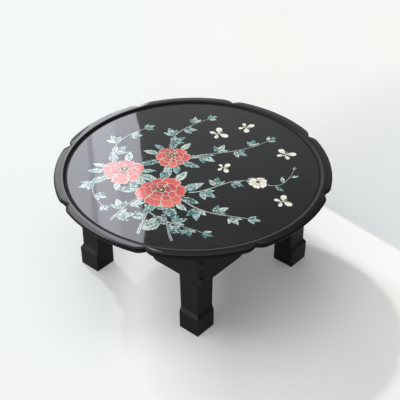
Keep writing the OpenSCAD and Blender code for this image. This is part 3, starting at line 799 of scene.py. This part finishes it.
# Pieces from the solids with rounded edges: name, slot, width of the rounding in mm, its segments.
# A corner's name follows each name of the first list
CORNER_PARTS = (("leg_", "lacquer_base", 0.7, 3), ("apron_", "lacquer_base", 0.4, 3),
                ("pivot_block_", "lacquer_inner", 1.0, 3), ("glue_block_", "lacquer_inner", 0.8, 3),
                ("foot_pad_", "felt", 0.5, 3), ("pivot_washer_", "brass", 0.2, 2),
                ("pivot_pin_", "steel", 0.4, 2), ("catch_spring_", "steel", 0.2, 2))
OTHER_PARTS = (("batten_near", "lacquer_inner", 1.5, 3), ("batten_far", "lacquer_inner", 1.5, 3),
               ("spring_screws", "steel", 0.2, 2), ("block_screws", "steel", 0.2, 2),
               ("batten_screws", "steel", 0.2, 2))
FLAT_WITHIN, BEVEL_FROM, SHARP_FROM = 0.5, 20, 40  # degrees between faces
WELD = 1e-6  # metres


def softened(node, slot, width, segments):
    """A copy of a CAD node with its edges rounded over, which stands for it."""
    source = frame["nodes"][node]
    mesh = source.data.copy()
    mesh.name = node + "_skin"
    work = bmesh.new()
    work.from_mesh(mesh)
    bmesh.ops.remove_doubles(work, verts=work.verts, dist=WELD)
    bmesh.ops.dissolve_limit(work, angle_limit=radians(FLAT_WITHIN), verts=work.verts,
                             edges=work.edges, delimit={"NORMAL"})
    sharp = [e for e in work.edges
             if len(e.link_faces) == 2 and e.calc_face_angle(0) > radians(BEVEL_FROM)]
    bmesh.ops.bevel(work, geom=sharp, offset=width * MM, offset_type="OFFSET", segments=segments,
                    profile=0.5, affect="EDGES", clamp_overlap=True)
    for face in work.faces:
        face.smooth = True
    work.to_mesh(mesh)
    work.free()
    piece = add_object(node + "_skin", mesh)
    if "custom_normal" in mesh.attributes:
        mesh.attributes.remove(mesh.attributes["custom_normal"])
    mark_sharp(piece, SHARP_FROM)
    normals = piece.modifiers.new("normals", "WEIGHTED_NORMAL")
    normals.keep_sharp = True
    finish_piece(piece, slot, source["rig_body"], (node,))


def build_base():
    """Skirt, legs and all that holds and folds them."""
    for c in CORNERS:
        for part, slot, width, segments in CORNER_PARTS:
            softened(part + c, slot, width, segments)
    for part in OTHER_PARTS:
        softened(*part)


# The solids that the pieces stand for have the same materials
for node in frame["nodes"].values():
    slot = next(p["material_slot"] for p in frame["record"]["subparts"] if p["node"] == node.name)
    node.data.materials.clear()
    node.data.materials.append(MATS[slot])

build_rim()
build_panel()
build_inlay()
build_base()


FLOOR_REACH = 9  # metres from the table


def painted_light_patches(n, place, across, away):
    """How far a point lies in a painted band of sunlight past the window's frame, and in a painted
    shade that darkens the floor behind it on the right. Both fade with the distance from the table."""
    behind = n.plus(away, n.times(across, 1.1))
    beyond = n.ramp(behind, [(0.55, 0.0), (0.562, 1.0)])
    right = n.ramp(n.plus(n.minus(across, away), 0.5),
                   [(0.14, 0.0), (0.35, 0.7), (0.5, 0.88), (0.8, 1.0)])
    far = n.add("ShaderNodeVectorMath", {0: place}, operation="LENGTH").outputs["Value"]
    here = n.ramp(n.times(far, 0.5), [(0.38, 1.0), (0.75, 0.0)], "EASE")
    # dull is the painted shade on the floor behind on the right
    dull = n.times(n.times(beyond, right), here)
    # The painted band of sunlight lies between the table's shadow and the painted shade
    painted_sun_strip = n.times(n.minus(n.ramp(behind, [(0.36, 0.0), (0.42, 1.0)]), beyond),
                    n.times(n.ramp(across, [(0.2, 0.0), (0.27, 1.0)]), here))
    return painted_sun_strip, dull


def painted_light_share(n, across, away, painted_sun_strip):
    """How much of the floor the eye and the mirrors see as plain white, which is painted light that
    lifts the floor's shadows: more at the left and in front, where the low window shines in, and in
    the painted band of sunlight."""
    # Painted light: the bump round 0.36 to 0.385 lightens the floor between the left and front legs
    left = n.ramp(n.plus(across, 0.5), [
        (0.0, 0.4), (0.3, 0.3), (0.36, 0.62), (0.385, 0.62), (0.425, 0.45), (0.5, 0.22),
        (0.58, 0.02), (0.7, 0.06), (1.0, 0.1)])
    front = n.times(n.ramp(n.plus(away, 1.0), [(0.4, 0.7), (0.68, 0.3), (0.78, 0.0)]),
                    n.ramp(n.plus(across, 0.5), [(0.4, 1.0), (0.85, 0.0)]))
    return n.plus(n.plus(left, n.times(painted_sun_strip, 0.6)), front, clamp=True)


def add_floor():
    """A pale matt floor with painted light and shade: the eye and the mirrors see it partly as
    plain white, and its colour is warmer at the right and darker behind on the right.
    """
    mat, n, place = material("floor")
    across, away, _ = n.turned(place)
    painted_sun_strip, dull = painted_light_patches(n, place, across, away)
    color = n.ramp(n.noise(place, FLOOR_CLOUDS, 2.0),
                   [(0.3, (0.84, 0.85, 0.85)), (0.7, (0.88, 0.88, 0.87))])
    # Painted light: a warm tint at the right and a cool one at the left, for the colour of the
    # light there
    painted_warm_light = n.ramp(n.plus(across, 0.5), [(0.3, (0.98, 1.0, 1.0)), (0.7, (1.0, 0.985, 0.95))])
    # Painted shade: the floor's colour is darker behind on the right
    color = n.mix(dull, n.product(color, painted_warm_light), (0.745, 0.755, 0.755))
    matt = n.add("ShaderNodeBsdfDiffuse", {"Color": color}).outputs[0]
    # Painted light: the plain white that the eye and the mirrors see, whiter in the painted sun
    # band and darker in the painted shade
    white = n.mix(dull, n.mix(painted_sun_strip, (0.90, 0.91, 0.92), (1.0, 1.0, 0.99)), (0.74, 0.75, 0.75))
    white = n.add("ShaderNodeEmission", {"Color": white, "Strength": 1.0}).outputs[0]
    seen = n.add("ShaderNodeLightPath").outputs
    seen = n.math("MAXIMUM", n.math("MAXIMUM", seen["Is Camera Ray"], seen["Is Glossy Ray"]),
                  seen["Is Transmission Ray"])
    share = n.times(painted_light_share(n, across, away, painted_sun_strip), seen)
    lifted = n.add("ShaderNodeMixShader", {0: share, 1: matt, 2: white})
    n.add("ShaderNodeOutputMaterial", {"Surface": lifted.outputs[0]})
    mesh = bpy.data.meshes.new("floor")
    corners = [(FLOOR_REACH * x, FLOOR_REACH * y, 0)
               for x, y in ((-1, -1), (1, -1), (1, 1), (-1, 1))]
    mesh.from_pydata(corners, [], [(0, 1, 2, 3)])
    mesh.materials.append(mat)
    floor = add_object("floor", mesh)


def mirrored_only(name, verts, faces, mat):
    """A light surface in the photograph's frame, seen only mirrored in polished surfaces."""
    mesh = bpy.data.meshes.new(name)
    mesh.from_pydata(verts, [], faces)
    mesh.materials.append(mat)
    piece = add_object(name, mesh)
    piece.matrix_world = VIEW
    piece.visible_camera = piece.visible_diffuse = piece.visible_shadow = False
    return piece


def add_pane(name, left, right, low, high, strength):
    """A bright window pane. left and right are the (x, y) of its two sides."""
    mat = bpy.data.materials.new(name)
    n = Nodes(mat)
    glow = n.add("ShaderNodeEmission", {"Color": (0.95, 0.98, 1.0, 1), "Strength": strength})
    n.add("ShaderNodeOutputMaterial", {"Surface": glow.outputs[0]})
    verts = [(*left, low), (*right, low), (*right, high), (*left, high)]
    pane = mirrored_only(name, verts, [(0, 1, 2, 3)], mat)


def add_curtain():
    """A bright curtain in a window, with folds and a waved right edge, which the field mirrors."""
    mat, n, place = material("curtain", "Generated")
    across = n.add("ShaderNodeSeparateXYZ", {0: place}).outputs[0]
    drift = n.swing(n.noise(place, CURTAIN_DRIFT, 2.0), 0.06)
    folds = n.ramp(n.plus(across, drift), [
        (0.0, 0.85), (0.33, 0.88), (0.36, 0.62), (0.40, 0.66), (0.42, 0.98), (0.66, 0.94),
        (0.70, 0.80), (0.97, 0.76), (1.0, 0.6)])
    folds = n.product(folds, (0.95, 0.97, 1.06))
    glow = n.add("ShaderNodeEmission", {"Color": folds, "Strength": 6.0})
    n.add("ShaderNodeOutputMaterial", {"Surface": glow.outputs[0]})
    left, right, back, low, step, rows = -0.52, -0.205, 1.5, 0.55, 0.025, 71
    verts = []
    for z in (low + step * i for i in range(rows)):
        verts += [(left, back, z), (right + 0.006 * sin(17 * z) + 0.004 * sin(41 * z), back, z)]
    faces = [(2 * i, 2 * i + 1, 2 * i + 3, 2 * i + 2) for i in range(rows - 1)]
    curtain = mirrored_only("curtain", verts, faces, mat)


def add_sun(way, strength, angle):
    """Weak sunlight through the window; way points to the sun, in the photograph's frame."""
    data = bpy.data.lights.new("sun", "SUN")
    data.energy, data.angle = strength, radians(angle)
    sun = add_object("sun", data)
    sun.rotation_euler = (VIEW @ Vector(way)).to_track_quat("Z", "Y").to_euler()


def add_world():
    """A bright room: lightest low down and at the left, darkest high up behind the table."""
    world = bpy.data.worlds.new("room")
    bpy.context.scene.world = world
    n = Nodes(world)
    across, away, up = n.turned(n.add("ShaderNodeTexCoord").outputs["Generated"])
    high = n.ramp(up, [(0.0, 1.3), (0.4, 1.25), (0.52, 0.82), (0.6, 0.45), (0.68, 0.32), (0.8, 0.8),
                       (1.0, 2.0)])
    side = n.ramp(n.unit(across), [(0.0, 1.7), (0.08, 1.6), (0.35, 1.25), (0.5, 0.9), (0.58, 0.62),
                                   (0.7, 0.5), (1.0, 0.42)])
    depth = n.ramp(n.unit(away), [(0.0, 0.85), (0.5, 0.85), (0.9, 1.0)])
    color = n.product(n.product(high, side), depth)
    near_left = n.times(n.ramp(n.times(across, -1.0), [(0.1, 0.0), (0.6, 1.0)]),
                        n.ramp(n.times(away, -1.0), [(0.0, 0.0), (0.4, 1.0)]))
    color = n.mix(near_left, color, n.product(color, (1.2, 1.2, 1.2)))
    color = n.product(color, (0.97, 0.99, 1.0))
    back = n.add("ShaderNodeBackground", {"Color": color, "Strength": 1.0})
    n.add("ShaderNodeOutputWorld", {"Surface": back.outputs[0]})


add_floor()
add_curtain()
# The low window lights the polished edges and the feet's slopes, and the side window lights the
# rim at the left
add_pane("low_window", (-3, -1.6), (-3, 0.2), 0.01, 0.42, 6.0)
add_pane("side_window", (-0.85, 1.5), (-0.525, 1.5), 1.0, 2.3, 3.5)
add_sun((-0.40, 0.62, 0.70), 1.15, 3.0)
add_world()

bpy.context.scene.view_settings.view_transform = "Standard"
